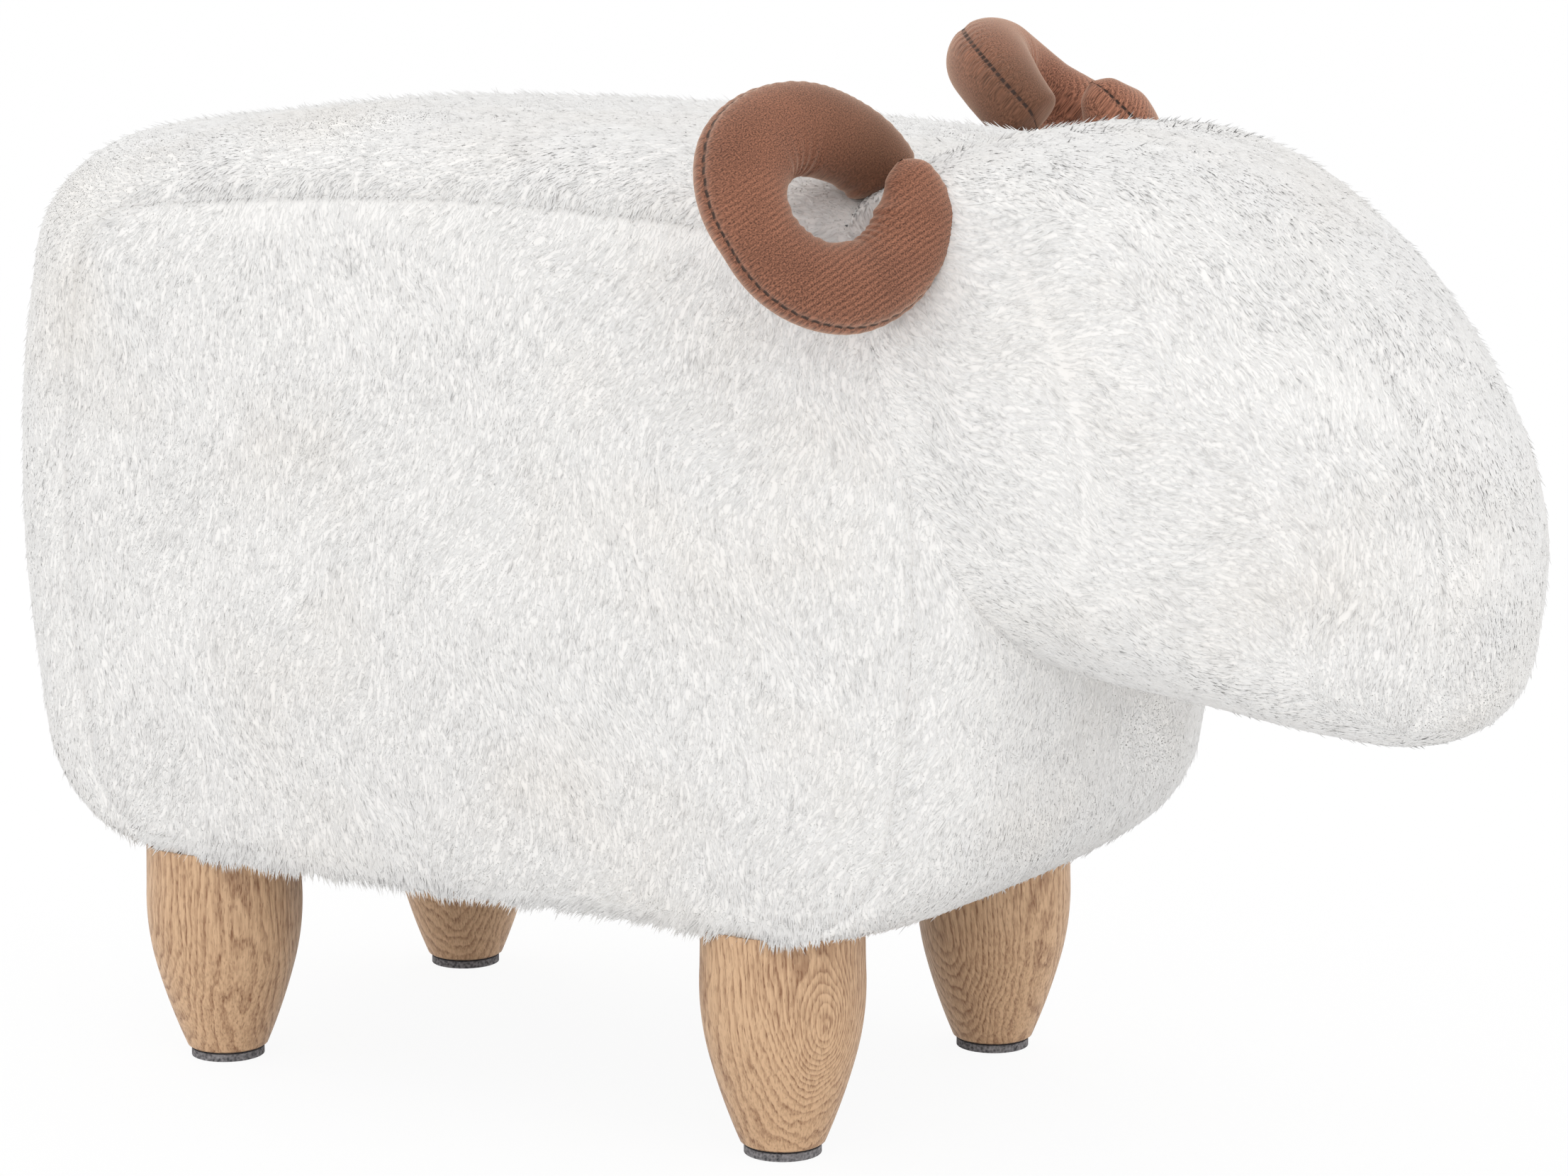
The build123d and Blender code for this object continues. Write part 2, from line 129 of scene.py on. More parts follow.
def wood_figure():
    """Growth rings as near planes, bent by slow noise, cut by the surface, with fibres and pores."""
    tree, given, out = new_group(
        "wood_figure",
        [
            ("Place", "Vector"), ("Turn", "Vector"), ("Ring Width", "Float"), ("Light", "Color"),
            ("Dark", "Color"), ("Drift", "Float"), ("Knot", "Vector"), ("Knot Rings", "Float"),
        ],
        [("Color", "Color"), ("Roughness", "Float"), ("Height", "Float")],
    )
    where = put(tree, "TexCoord").outputs["Object"]
    moved = put(tree, "VectorMath", {0: where, 1: given["Place"]}, operation="SUBTRACT").outputs[0]
    turned = put(tree, "Mapping", {"Vector": moved, "Rotation": given["Turn"]}).outputs[0]
    seeded = put(tree, "CombineXYZ", {0: given["Drift"], 1: given["Drift"], 2: given["Drift"]}).outputs[0]
    shifted = put(tree, "VectorMath", {0: turned, 1: seeded}, operation="ADD").outputs[0]
    slow = stretched_noise(tree, shifted, (38, 38, 15))
    fine = stretched_noise(tree, shifted, (230, 230, 60))
    across = put(tree, "SeparateXYZ", {0: turned}).outputs[0]
    curved = maths(tree, "MULTIPLY", across, maths(tree, "ABSOLUTE", across))
    rings = maths(tree, "DIVIDE", curved, maths(tree, "MULTIPLY", given["Ring Width"], 0.06))
    rings = maths(tree, "MULTIPLY_ADD", slow, 5.5, rings)
    rings = maths(tree, "MULTIPLY_ADD", fine, 1.1, rings)
    from_knot = put(tree, "VectorMath", {0: moved, 1: given["Knot"]}, operation="SUBTRACT").outputs[0]
    from_knot = put(tree, "Mapping", {"Vector": from_knot, "Scale": (90, 90, 48)}).outputs[0]
    squared = put(tree, "VectorMath", {0: from_knot, 1: from_knot}, operation="DOT_PRODUCT").outputs[1]
    knot = maths(tree, "EXPONENT", maths(tree, "MULTIPLY", squared, -1.0))
    rings = maths(tree, "MULTIPLY_ADD", knot, given["Knot Rings"], rings)
    saw = maths(tree, "FRACT", rings)
    late = maths(tree, "POWER", saw, 2.2)
    early = mapped(tree, saw, 0.0, 0.15, 1.0, 0.0)
    band = maths(tree, "MAXIMUM", late, maths(tree, "MULTIPLY", early, 0.8))
    fibre = stretched_noise(tree, shifted, (1300, 1300, 110), 3.0)
    broken = stretched_noise(tree, shifted, (700, 700, 260))
    pore = stretched_noise(tree, shifted, (1700, 1700, 330), 0.0)
    pore = mapped(tree, maths(tree, "MULTIPLY_ADD", band, 0.07, pore), 0.66, 0.74)
    tone = maths(tree, "MULTIPLY", band, mapped(tree, broken, 0.35, 0.65, 0.5, 1.0))
    tone = maths(tree, "MULTIPLY", tone, 0.78)
    tone = swayed(tree, tone, fibre, 1.5)
    tone = swayed(tree, tone, slow, 0.7)
    tone = maths(tree, "ADD", tone, 0.1)
    tone = maths(tree, "MULTIPLY_ADD", pore, 0.22, tone)
    tone = mapped(tree, tone, 0.0, 1.0)
    tree.links.new(blended(tree, tone, given["Light"], given["Dark"]), out["Color"])
    tree.links.new(mapped(tree, fibre, 0.3, 0.7, 0.42, 0.56), out["Roughness"])
    height = maths(tree, "MULTIPLY_ADD", pore, -1.0, maths(tree, "MULTIPLY", band, -0.25))
    tree.links.new(maths(tree, "MULTIPLY_ADD", fibre, 0.3, height), out["Height"])
    return tree


def wood_finish(name, place, turn, ring_width, light, dark, drift, knot=(0, 0, 0), knot_rings=0.0):
    """Wood cut from one blank: place and turn set how its growth rings lie in the piece, and the
    rings close in ovals round a knot."""
    material, tree, shader, relief = new_finish(name, bump=0.00012)
    values = {
        "Place": place, "Turn": turn, "Ring Width": ring_width, "Light": light, "Dark": dark,
        "Drift": drift, "Knot": knot, "Knot Rings": knot_rings,
    }
    wood = put(tree, "Group", values, node_tree=wood_group)
    tree.links.new(wood.outputs["Color"], shader.inputs["Base Color"])
    tree.links.new(wood.outputs["Roughness"], shader.inputs["Roughness"])
    tree.links.new(wood.outputs["Height"], relief.inputs["Height"])
    return material


def dress(node, material):
    """Gives a carried-over solid its material."""
    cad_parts[node].data.materials.clear()
    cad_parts[node].data.materials.append(material)


def middle(node):
    """Centre of a node's box."""
    low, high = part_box(node)
    return (low + high) / 2


wood_group = wood_figure()
leg_light = (0.66, 0.43, 0.255, 1)
leg_dark = (0.25, 0.115, 0.052, 1)
# Heading and tilt of the blank, ring width, drift of the noise, and the knot's place and strength.
leg_blanks = {
    "leg_front_right": (-0.7, 0.05, 0.0016, 0.31, (0.0275, -0.0143, 0.008), 8.0),
    "leg_rear_right": (0.9, -0.02, 0.0017, 1.73, (0, 0, 0), 0.0),
    "leg_front_left": (-1.9, 0.12, 0.0013, 2.57, (0, 0, 0), 0.0),
    "leg_rear_left": (-1.3, 0.05, 0.0015, 3.91, (0, 0, 0), 0.0),
}
for node, (heading, tilt, ring_width, *rest) in leg_blanks.items():
    turn = (0.0, tilt, -heading)
    dress(
        node,
        wood_finish(node + "_wood", middle(node), turn, ring_width, leg_light, leg_dark, *rest)
    )


# A thick grey felt disc is glued under each leg. Its punched edge shows a dark line of glue above
# the mottled fibres.
def felt_finish():
    """Mottled grey fibres, darker above the height where the glue soaked in."""
    material, tree, shader, relief = new_finish("felt", bump=0.0004, Roughness=1.0)
    where = put(tree, "TexCoord").outputs["Object"]
    mottle = put(tree, "TexNoise", {"Vector": where, "Scale": 900.0, "Detail": 4.0}).outputs[0]
    fleck = put(tree, "TexVoronoi", {"Vector": where, "Scale": 700.0}, feature="F1").outputs[0]
    tone = maths(tree, "MULTIPLY_ADD", fleck, 0.5, mottle)
    grey = blended(tree, mapped(tree, tone, 0.45, 1.0), (0.05, 0.05, 0.055, 1), (0.31, 0.3, 0.31, 1))
    height = put(tree, "SeparateXYZ", {0: where}).outputs[2]
    wavy = maths(tree, "MULTIPLY_ADD", mottle, 0.0008, height)
    glue = mapped(tree, wavy, 0.0033, 0.0038)
    tree.links.new(blended(tree, glue, grey, (0.012, 0.012, 0.014, 1)), shader.inputs["Base Color"])
    tree.links.new(mottle, relief.inputs["Height"])
    return material


felt = felt_finish()
for node in leg_blanks:
    dress(node.replace("leg", "foot_pad"), felt)


# The box inside: birch plywood boards with pine strips in the corners. None of it shows in use.
ply_light = (0.74, 0.55, 0.34, 1)
ply_dark = (0.5, 0.31, 0.16, 1)
ply_ring, pine_ring = 0.003, 0.0035
boards = (
    "base_board", "seat_board", "frame_side_right", "frame_side_left", "frame_front", "frame_rear",
    "centre_rib"
)
for drift, node in enumerate(boards):
    low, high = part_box(node)
    flat_way = int(np.argmin(high - low))
    turn = ((0.0, 0.0, 0.0), (0.0, 0.0, 1.5708), (0.0, 1.5708, 0.0))[flat_way]
    dress(node, wood_finish(node + "_ply", middle(node), turn, ply_ring, ply_light, ply_dark, drift))
for drift, node in enumerate(leg_blanks):
    post = node.replace("leg", "corner_post")
    turn = (0.0, 0.1, 0.5 + drift)
    dress(post, wood_finish(post + "_pine", middle(post), turn, pine_ring, ply_light, ply_dark, drift))


# Zinc plated screws, tee nuts and hanger bolts, and plain wire staples.
def metal_finish(name, bright, dull, roughness):
    """Plated steel with cloudy passivation."""
    material, tree, shader, _ = new_finish(name, Metallic=1.0)
    where = put(tree, "TexCoord").outputs["Object"]
    cloud = put(tree, "TexNoise", {"Vector": where, "Scale": 260.0, "Detail": 3.0}).outputs[0]
    tree.links.new(blended(tree, cloud, bright, dull), shader.inputs["Base Color"])
    tree.links.new(mapped(tree, cloud, 0.3, 0.7, roughness, roughness + 0.2), shader.inputs["Roughness"])
    return material


zinc = metal_finish("zinc_plate", (0.72, 0.73, 0.76, 1), (0.5, 0.52, 0.55, 1), 0.3)
for node in ("frame_screws", "tee_nuts", "hanger_bolts"):
    dress(node, zinc)
dress("cover_staples", metal_finish("staple_wire", (0.62, 0.62, 0.63, 1), (0.4, 0.4, 0.42, 1), 0.35))


# The plush cover of the body is three panels: a long band over rump, seat and chest, and an oval
# panel bulging on each flank, sewn to the band along a seam that pulls the pile in.
MM = 0.001
band_low, band_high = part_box("back_band")
seam_y = band_high.y / MM
rump_x, chest_x = band_low.x / MM, band_high.x / MM
belly_z, seat_z = band_low.z / MM, band_high.z / MM
pile_depth = 1.4  # the backing cloth lies this far inside the pile's outer surface
rump_roll, chest_roll, seat_roll = 54, 37, 30  # how far the seams draw in from the middle section
rump_bow, chest_bow, seat_bow = 10, 10, 9
# A corner's radius, and the share of it that is left at the seams.
corner_radii = {
    "rump_top": (64, 0.45), "chest_top": (70, 0.6), "chest_low": (62, 0.8), "rump_low": (58, 0.75)
}
section_power = 2.7
flank_crown, flank_power = 11.0, 2.4
outline_steps, outline_easing = 26, 6
body_swell, body_wave, body_seed = 0.5, 90.0, 5
hump_height, hump_x, hump_width = 2.4, -160.0, 45.0  # a soft rise in the cover over the seat
opening_side, opening_rear, opening_front = 41, 100, 103  # the hem's edge, from the cover's outside
under_height = 8


def arcs_through(points, steps):
    """Closed outlines of circle arcs. Points are complex, one row for each outline, and an arc runs
    through each even point, the next and the one after: the fraction t goes to the arc by the map
    (a (1-t) (m-b) + b t (a-m)) / ((1-t) (m-b) + t (a-m)) for ends a and b and middle point m."""
    first, centre, last = points[:, 0::2], points[:, 1::2], np.roll(points[:, 0::2], -1, axis=1)
    t = np.arange(steps) / steps
    near_first = (centre - last)[..., None] * (1 - t)
    near_last = (first - centre)[..., None] * t
    arcs = (first[..., None] * near_first + last[..., None] * near_last) / (near_first + near_last)
    return arcs.reshape(len(points), -1)


def body_outlines(draw):
    """The body's upright sections as rows of sixteen points: four bowed sides and four round
    corners. The further a section is from the middle, the more it draws in, from 0 to 1."""
    low_x = rump_x + pile_depth + rump_roll * draw
    high_x = chest_x - pile_depth - chest_roll * draw
    low_z = belly_z + pile_depth
    high_z = seat_z - pile_depth - seat_roll * draw
    in_low_x, in_high_x, in_high_z = low_x + rump_bow, high_x - chest_bow, high_z - seat_bow
    rump_top, chest_top, chest_low, rump_low = (
        (full - pile_depth) * (1 - draw + draw * share) for full, share in corner_radii.values()
    )
    cut = 1 - np.sqrt(0.5)
    outline = [
        in_low_x + rump_low + 1j * low_z,
        (in_low_x + rump_low + in_high_x - chest_low) / 2 + 1j * low_z,
        in_high_x - chest_low + 1j * low_z,
        in_high_x - chest_low * cut + 1j * (low_z + chest_low * cut),
        in_high_x + 1j * (low_z + chest_low),
        high_x + 1j * (low_z + chest_low + in_high_z - chest_top) / 2,
        in_high_x + 1j * (in_high_z - chest_top),
        in_high_x - chest_top * cut + 1j * (in_high_z - chest_top * cut),
        in_high_x - chest_top + 1j * in_high_z,
        (in_high_x - chest_top + in_low_x + rump_top) / 2 + 1j * high_z,
        in_low_x + rump_top + 1j * in_high_z,
        in_low_x + rump_top * cut + 1j * (in_high_z - rump_top * cut),
        in_low_x + 1j * (in_high_z - rump_top),
        low_x + 1j * (in_high_z - rump_top + low_z + rump_low) / 2,
        in_low_x + 1j * (low_z + rump_low),
        in_low_x + rump_low * cut + 1j * (low_z + rump_low * cut),
    ]
    return np.stack(outline, axis=1)


def stacked(outlines, y):
    """Outlines at their places across the animal: a grid of points, one row for each outline."""
    return np.stack([outlines.real, np.broadcast_to(y[:, None], outlines.shape), outlines.imag], axis=-1)


def smoothed(outlines, reach):
    """Closed outlines with their kinks eased by a circular binomial filter, used reach times."""
    for _ in range(reach):
        outlines = (np.roll(outlines, 1, axis=1) + 2 * outlines + np.roll(outlines, -1, axis=1)) / 4
    return outlines


def body_sections(draw):
    """The body's upright sections as smooth closed outlines."""
    return smoothed(arcs_through(body_outlines(draw), outline_steps), outline_easing)


def body_grid(rows):
    """The band, from the right seam to the left one. An angle from -90 to 90 degrees gives the
    place y = half (sin a)^(2/p) and the draw 1 - (cos a)^(2/p) of a crowned section."""
    angle = np.linspace(-np.pi / 2, np.pi / 2, rows)
    power = 2 / section_power
    y = (seam_y - pile_depth) * np.sign(angle) * np.abs(np.sin(angle)) ** power
    draw = 1 - np.clip(np.cos(angle), 0, 1) ** power
    return stacked(body_sections(draw), y)


def flank_grid(side, rows):
    """A flank panel, from its middle to the seam: the seam's outline shrunk by a share s towards
    its middle, and set out by flank_crown (1 - s^flank_power)."""
    seam = body_sections(np.ones(1))
    centre = seam.mean()
    share = np.linspace(0, 1, rows)
    y = side * (seam_y - pile_depth + flank_crown * (1 - share**flank_power))
    return stacked(centre + (seam - centre) * share[:, None], y)


def grid_normals(grid, outward):
    """Unit normals of a grid that closes along its rows, turned to the side of outward."""
    along = np.roll(grid, -1, axis=1) - np.roll(grid, 1, axis=1)
    across = np.gradient(grid, axis=0)
    normal = np.cross(along, across)
    length = np.linalg.norm(normal, axis=-1, keepdims=True)
    normal = np.where(length > 1e-9, normal / np.maximum(length, 1e-9), 0.0)
    flip = np.sign((normal * outward).sum(axis=(0, 1)).sum())
    return normal * (flip if flip else 1.0)


def slow_noise(points, seed, wave, count=7):
    """Slow noise from -1 to 1: a sum of sine waves in chance directions, about wave mm long."""
    rng = np.random.default_rng(seed)
    total = np.zeros(points.shape[:-1])
    for _ in range(count):
        way = rng.normal(size=3)
        way *= rng.uniform(0.7, 1.5) / np.linalg.norm(way)
        total += np.sin(points @ way * (2 * np.pi / wave) + rng.uniform(0, 2 * np.pi))
    return total / np.sqrt(count) / 1.4


def swollen(grid, normal, swell, seams, depth=0.12):
    """A grid moved along its normals by swell (1 - exp(-(d/8)^2)) - depth exp(-(d/3)^2), where d is
    the distance in mm to the nearest of the seams' lines."""
    away = np.min([np.linalg.norm(grid - seam[None], axis=-1) for seam in seams], axis=0)
    move = swell * (1 - np.exp(-((away / 8.0) ** 2))) - depth * np.exp(-((away / 3.0) ** 2))
    return grid + normal * move[..., None]


def sheet_mesh(name, grid, keep=None, pole_first=False, closed=True):
    """A mesh from a grid of points in mm: quads between neighbours, closed along its rows, with a
    fan round a pole in its first row. keep says which quads are there."""
    rows, columns = grid.shape[:2]
    index = np.arange(rows * columns).reshape(rows, columns)
    if pole_first:
        index[0] = 0
    right = np.roll(index, -1, axis=1) if closed else index[:, 1:]
    left = index if closed else index[:, :-1]
    quads = np.stack([left[:-1], right[:-1], right[1:], left[1:]], axis=-1)
    if keep is not None:
        quads = quads[keep]
    faces = [tuple(dict.fromkeys(quad)) for quad in quads.reshape(-1, 4).tolist()]
    mesh = bpy.data.meshes.new(name)
    mesh.from_pydata((grid.reshape(-1, 3) * MM).tolist(), [], faces)
    return mesh


def tidy_mesh(mesh, outward):
    """Drops loose points and turns the faces to the side of outward, a point inside the form."""
    work = bmesh.new()
    work.from_mesh(mesh)
    loose = [point for point in work.verts if not point.link_faces]
    bmesh.ops.delete(work, geom=loose, context="VERTS")
    inward = sum(face.normal.dot(face.calc_center_median() - outward) < 0 for face in work.faces)
    if inward > len(work.faces) / 2:
        bmesh.ops.reverse_faces(work, faces=work.faces)
    for face in work.faces:
        face.smooth = True
    work.to_mesh(mesh)
    work.free()


def place_piece(name, mesh, material, slot, *nodes):
    """Links a finished mesh as a piece of the stool and hides the solids it stands for."""
    piece = bpy.data.objects.new(name, mesh)
    mesh.materials.append(material)
    bpy.context.scene.collection.objects.link(piece)
    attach(piece, "root")
    if nodes:
        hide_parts(*nodes)
    return piece


def thicken(piece, thickness):
    """Gives a skin its thickness, inwards."""
    wall = piece.modifiers.new("thickness", "SOLIDIFY")
    wall.thickness = thickness * MM
    wall.offset = -1.0
    return piece


def plush_finish(name, root, tip, bump):
    """White polyester pile: darker towards the roots, as painted shade between the locks, and paler towards
    the tips, with each lock a tone of its own and fine fibres drawn along it. The skin below has no locks of
    its own, so it takes the darker root colour, painted shade where it shows between them."""
    material, tree, shader, relief = new_finish(name, bump=bump, Roughness=0.85, Sheen_Weight=0.15)
    along = put(tree, "Attribute", attribute_name="along").outputs["Fac"]
    tone = put(tree, "Attribute", attribute_name="tone").outputs["Fac"]
    where = put(tree, "TexCoord").outputs
    fibre = stretched_noise(tree, where["UV"], (9.0, 1.2, 1.0))
    warm = stretched_noise(tree, where["Object"], (11, 11, 14))
    share = swayed(tree, along, tone, 0.5)
    share = swayed(tree, share, fibre, 0.5)
    # Painted shade: from the darker root colour at a lock's foot to the tip colour at its end.
    pile = blended(tree, mapped(tree, share, 0.0, 1.0), root, tip)
    tinted = blended(tree, mapped(tree, warm, 0.5, 0.75, 0.0, 0.35), pile, (0.93, 0.885, 0.83, 1), "MULTIPLY")
    tree.links.new(tinted, shader.inputs["Base Color"])
    tree.links.new(fibre, relief.inputs["Height"])
    return material


# The root colours are painted shade at the locks' feet and on the skin between them; the tip colours are the
# pile's own white.
plush = plush_finish("plush_pile", (0.875, 0.862, 0.842, 1), (0.955, 0.95, 0.94, 1), 0.00006)
backing = plush_finish("plush_backing", (0.87, 0.857, 0.837, 1), (0.93, 0.922, 0.91, 1), 0.0002)
band = body_grid(97)
flanks = {side: flank_grid(side, 34) for side in (-1, 1)}
body_centre = band.mean(axis=(0, 1))
band_normal = grid_normals(band, band - body_centre)
hem_low, hem_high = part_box("dust_cover")
shapes = {}
for side, grid in flanks.items():
    normal = grid_normals(grid, grid - body_centre)
    normal[0] = (0, side, 0)
    swell = body_swell + body_swell * slow_noise(grid, body_seed, body_wave)
    shapes[side] = (swollen(grid, normal, swell, band[[0, -1]]), normal)
hump = hump_height * np.exp(-(((band[..., 0] - hump_x) / hump_width) ** 2))
hump = hump * np.clip(band_normal[..., 2], 0, 1)
band_swell = body_swell + body_swell * slow_noise(band, body_seed, body_wave) + hump
shapes[0] = (swollen(band, band_normal, band_swell, band[[0, -1]]), band_normal)
for side, (name, node) in {
    -1: ("flank_plush_right", "flank_panel_right"),
    1: ("flank_plush_left", "flank_panel_left"),
    0: ("band_plush", "back_band"),
}.items():
    grid, normal = shapes[side]
    keep = None
    if side == 0:
        centres = (grid[:-1] + grid[1:]) / 2
        under = centres[..., 2] < belly_z + under_height
        opening = np.abs(centres[..., 1]) < seam_y - opening_side
        opening &= centres[..., 0] > rump_x + opening_rear
        keep = ~(under & opening & (centres[..., 0] < chest_x - opening_front))
    mesh = sheet_mesh(name, grid, keep=keep, pole_first=side != 0)
    tidy_mesh(mesh, Vector(body_centre) * MM)
    skin = thicken(place_piece(name, mesh, backing, "plush", node), 1.0)


# The head is a stuffed form that swells from the neck and tapers to the nose: a broad gusset over
# forehead, nose and chin, and a side panel sewn to each of its edges.
head_share = np.array(
    [
        (-0.462, 0.972), (-0.049, 1.001), (0.308, 0.961), (0.604, 0.883), (0.915, 0.724),
        (0.978, 0.646), (0.970, 0.505), (0.890, 0.444), (0.731, 0.432), (0.346, 0.451),
        (-0.071, 0.469), (-0.269, 0.542), (-0.365, 0.730), (-0.429, 0.869),
    ]
)
head_reach, head_size = 156.0, 112
head_half, head_crown, gusset_y = 117.0, 7.0, 50.0
head_power, cheek_power = 2.0, 2.2
nose_taper, crown_taper, chin_taper = 0.64, 0.23, 0.55
head_steps, head_easing = 30, 40
head_swell, head_wave, head_seed = 0.6, 70.0, 9
head_sunk = 9  # the head's skin ends this deep in the body
neck_x, eye_z = chest_x - 41, seat_z - 97


def head_outlines(draw):
    """The head's outline in rows, shortened and flattened about the eye's height by the draw."""
    x = chest_x + head_share[:, 0] * head_reach
    z = head_share[:, 1] * seat_z
    x = np.where(x > neck_x, neck_x + (x - neck_x) * (1 - nose_taper * draw[:, None]), x)
    side_share = np.where(z > eye_z, crown_taper, chin_taper)
    z = eye_z + (z - eye_z) * (1 - side_share * draw[:, None])
    outline = x + 1j * z
    centre = outline.mean(axis=1, keepdims=True)
    return centre + (outline - centre) * (1 - pile_depth / head_size)


def head_sections(draw):
    """The head's sections as smooth closed outlines."""
    return smoothed(arcs_through(head_outlines(draw), head_steps), head_easing)


def head_grid(low, high, rows):
    """Head sections between two angles across it: y = half sin a, and the draw is 1 - cos a."""
    angle = np.linspace(low, high, rows)
    return stacked(head_sections(1 - np.cos(angle)), (head_half - pile_depth) * np.sin(angle))


def head_cap(side, rows):
    """The flattish cheek: the last section shrunk to its middle by a share s, and set out by
    head_crown (1 - s^cheek_power)."""
    outline = head_sections(np.ones(1))
    share = np.linspace(0, 1, rows)
    centre = outline.mean()
    y = side * (head_half - pile_depth + head_crown * (1 - share**cheek_power))
    return stacked(centre + (outline - centre) * share[:, None], y)


def reach_table(outlines, centre, bearings=720):
    """How far each outline lies from a common centre, at even bearings all round it."""
    even = np.linspace(-np.pi, np.pi, bearings, endpoint=False)
    offsets = outlines - centre
    return np.stack([np.interp(even, np.angle(row), np.abs(row), period=2 * np.pi) for row in offsets])


def buried(points, table, centre, half, power, crown, crown_power):
    """How deep points lie in the body or head, in mm, negative outside: along the bearing from the
    centre the table's row for the draw at y, 1 - (1 - (y/half)^p)^(1/p), and sideways the crowned
    flat of the flank or cheek, whichever is less."""
    draw = 1 - (1 - np.clip(np.abs(points[..., 1]) / half, 0, 1) ** power) ** (1 / power)
    offset = points[..., 0] + 1j * points[..., 2] - centre
    row = draw * (len(table) - 1)
    low = np.minimum(row.astype(int), len(table) - 2)
    column = ((np.angle(offset) / (2 * np.pi) + 0.5) * table.shape[1]).astype(int) % table.shape[1]
    reach = table[low, column] + (row - low) * (table[low + 1, column] - table[low, column])
    share = np.minimum(np.abs(offset) / reach, 1)
    sideways = half + crown * (1 - share**crown_power) - np.abs(points[..., 1])
    return np.minimum(reach - np.abs(offset), sideways)


draws = np.linspace(0, 1, 61)
body_core = 1j * (belly_z + seat_z) / 2
head_core = chest_x + 60 + 1j * eye_z
body_table = reach_table(body_sections(draws), body_core)
head_table = reach_table(head_sections(draws), head_core)


def inside_body(points):
    """Depth of points in the body's skin."""
    half = seam_y - pile_depth
    return buried(points, body_table, body_core, half, section_power, flank_crown, flank_power)


def inside_head(points):
    """Depth of points in the head's skin."""
    half = head_half - pile_depth
    return buried(points, head_table, head_core, half, head_power, head_crown, cheek_power)


gusset_angle = np.arcsin(gusset_y / head_half)
head_parts = {"head_gusset": head_grid(-gusset_angle, gusset_angle, 41)}
for side, node in ((-1, "head_side_right"), (1, "head_side_left")):
    cheek = head_grid(side * np.pi / 2, side * gusset_angle, 38)
    head_parts[node] = np.concatenate([head_cap(side, 14)[:-1], cheek])
head_centre = head_parts["head_gusset"].mean(axis=(0, 1))
head_shapes = {}
for node, grid in head_parts.items():
    normal = grid_normals(grid, grid - head_centre)
    if node != "head_gusset":
        normal[0] = (0, -1 if "right" in node else 1, 0)
    swell = head_swell + head_swell * slow_noise(grid, head_seed, head_wave)
    grid = swollen(grid, normal, swell, head_parts["head_gusset"][[0, -1]])
    head_shapes[node] = (grid, normal)
    centres = (grid[:-1] + grid[1:]) / 2
    keep = inside_body(centres) < head_sunk
    mesh = sheet_mesh(node + "_plush", grid, keep=keep, pole_first=node != "head_gusset")
    tidy_mesh(mesh, Vector(head_centre) * MM)
    skin = thicken(place_piece(node + "_plush", mesh, backing, "plush", node), 1.0)


# The pile itself: short soft locks of white fibre, lying down the flanks, back along the seat and
# forward along the cheeks, parted where the panels are sewn and where the head meets the chest.
lock_length, lock_lift, lock_width = 4.8, 0.3, 1.25
lock_sunk = 0.4
own_shade = 0.14  # how far a lock's normals lean from the skin's to its own
stray_share, edge_width, locks_per_piece = 0.06, 7, 45000
pile_reach = 2.5  # the pile ends this deep in the other form
fringe_spacing, fringe_height, fringe_share = 0.65, 6, 0.95
hem_margin, hem_height = 4, 3


def scattered(grid, normal, spacing, seed):
    """Roots spread evenly over a grid: its cells are walked to and fro, a root falls due each time
    the area walked over grows by spacing squared, and lands at a chance place in its cell."""
    rng = np.random.default_rng(seed)
    ring = np.concatenate([grid, grid[:, :1]], axis=1)
    turned = np.concatenate([normal, normal[:, :1]], axis=1)
    diagonals = np.cross(ring[1:, 1:] - ring[:-1, :-1], ring[1:, :-1] - ring[:-1, 1:])
    area = np.linalg.norm(diagonals, axis=-1) / 2
    order = np.arange(area.size).reshape(area.shape)
    order[1::2] = order[1::2, ::-1]
    walked = np.cumsum(area.ravel()[order.ravel()]) / spacing**2
    due = np.arange(int(walked[-1])) + rng.uniform(0.0, 0.7, int(walked[-1]))
    cell = order.ravel()[np.minimum(np.searchsorted(walked, due), area.size - 1)]
    row, column = np.divmod(cell, area.shape[1])
    down, over = rng.uniform(0, 1, (2, len(cell), 1))
    mixed = [
        (1 - down) * ((1 - over) * field[row, column] + over * field[row, column + 1])
        + down * ((1 - over) * field[row + 1, column] + over * field[row + 1, column + 1])
        for field in (ring, turned)
    ]
    mixed[1] /= np.maximum(np.linalg.norm(mixed[1], axis=-1, keepdims=True), 1e-9)
    return mixed


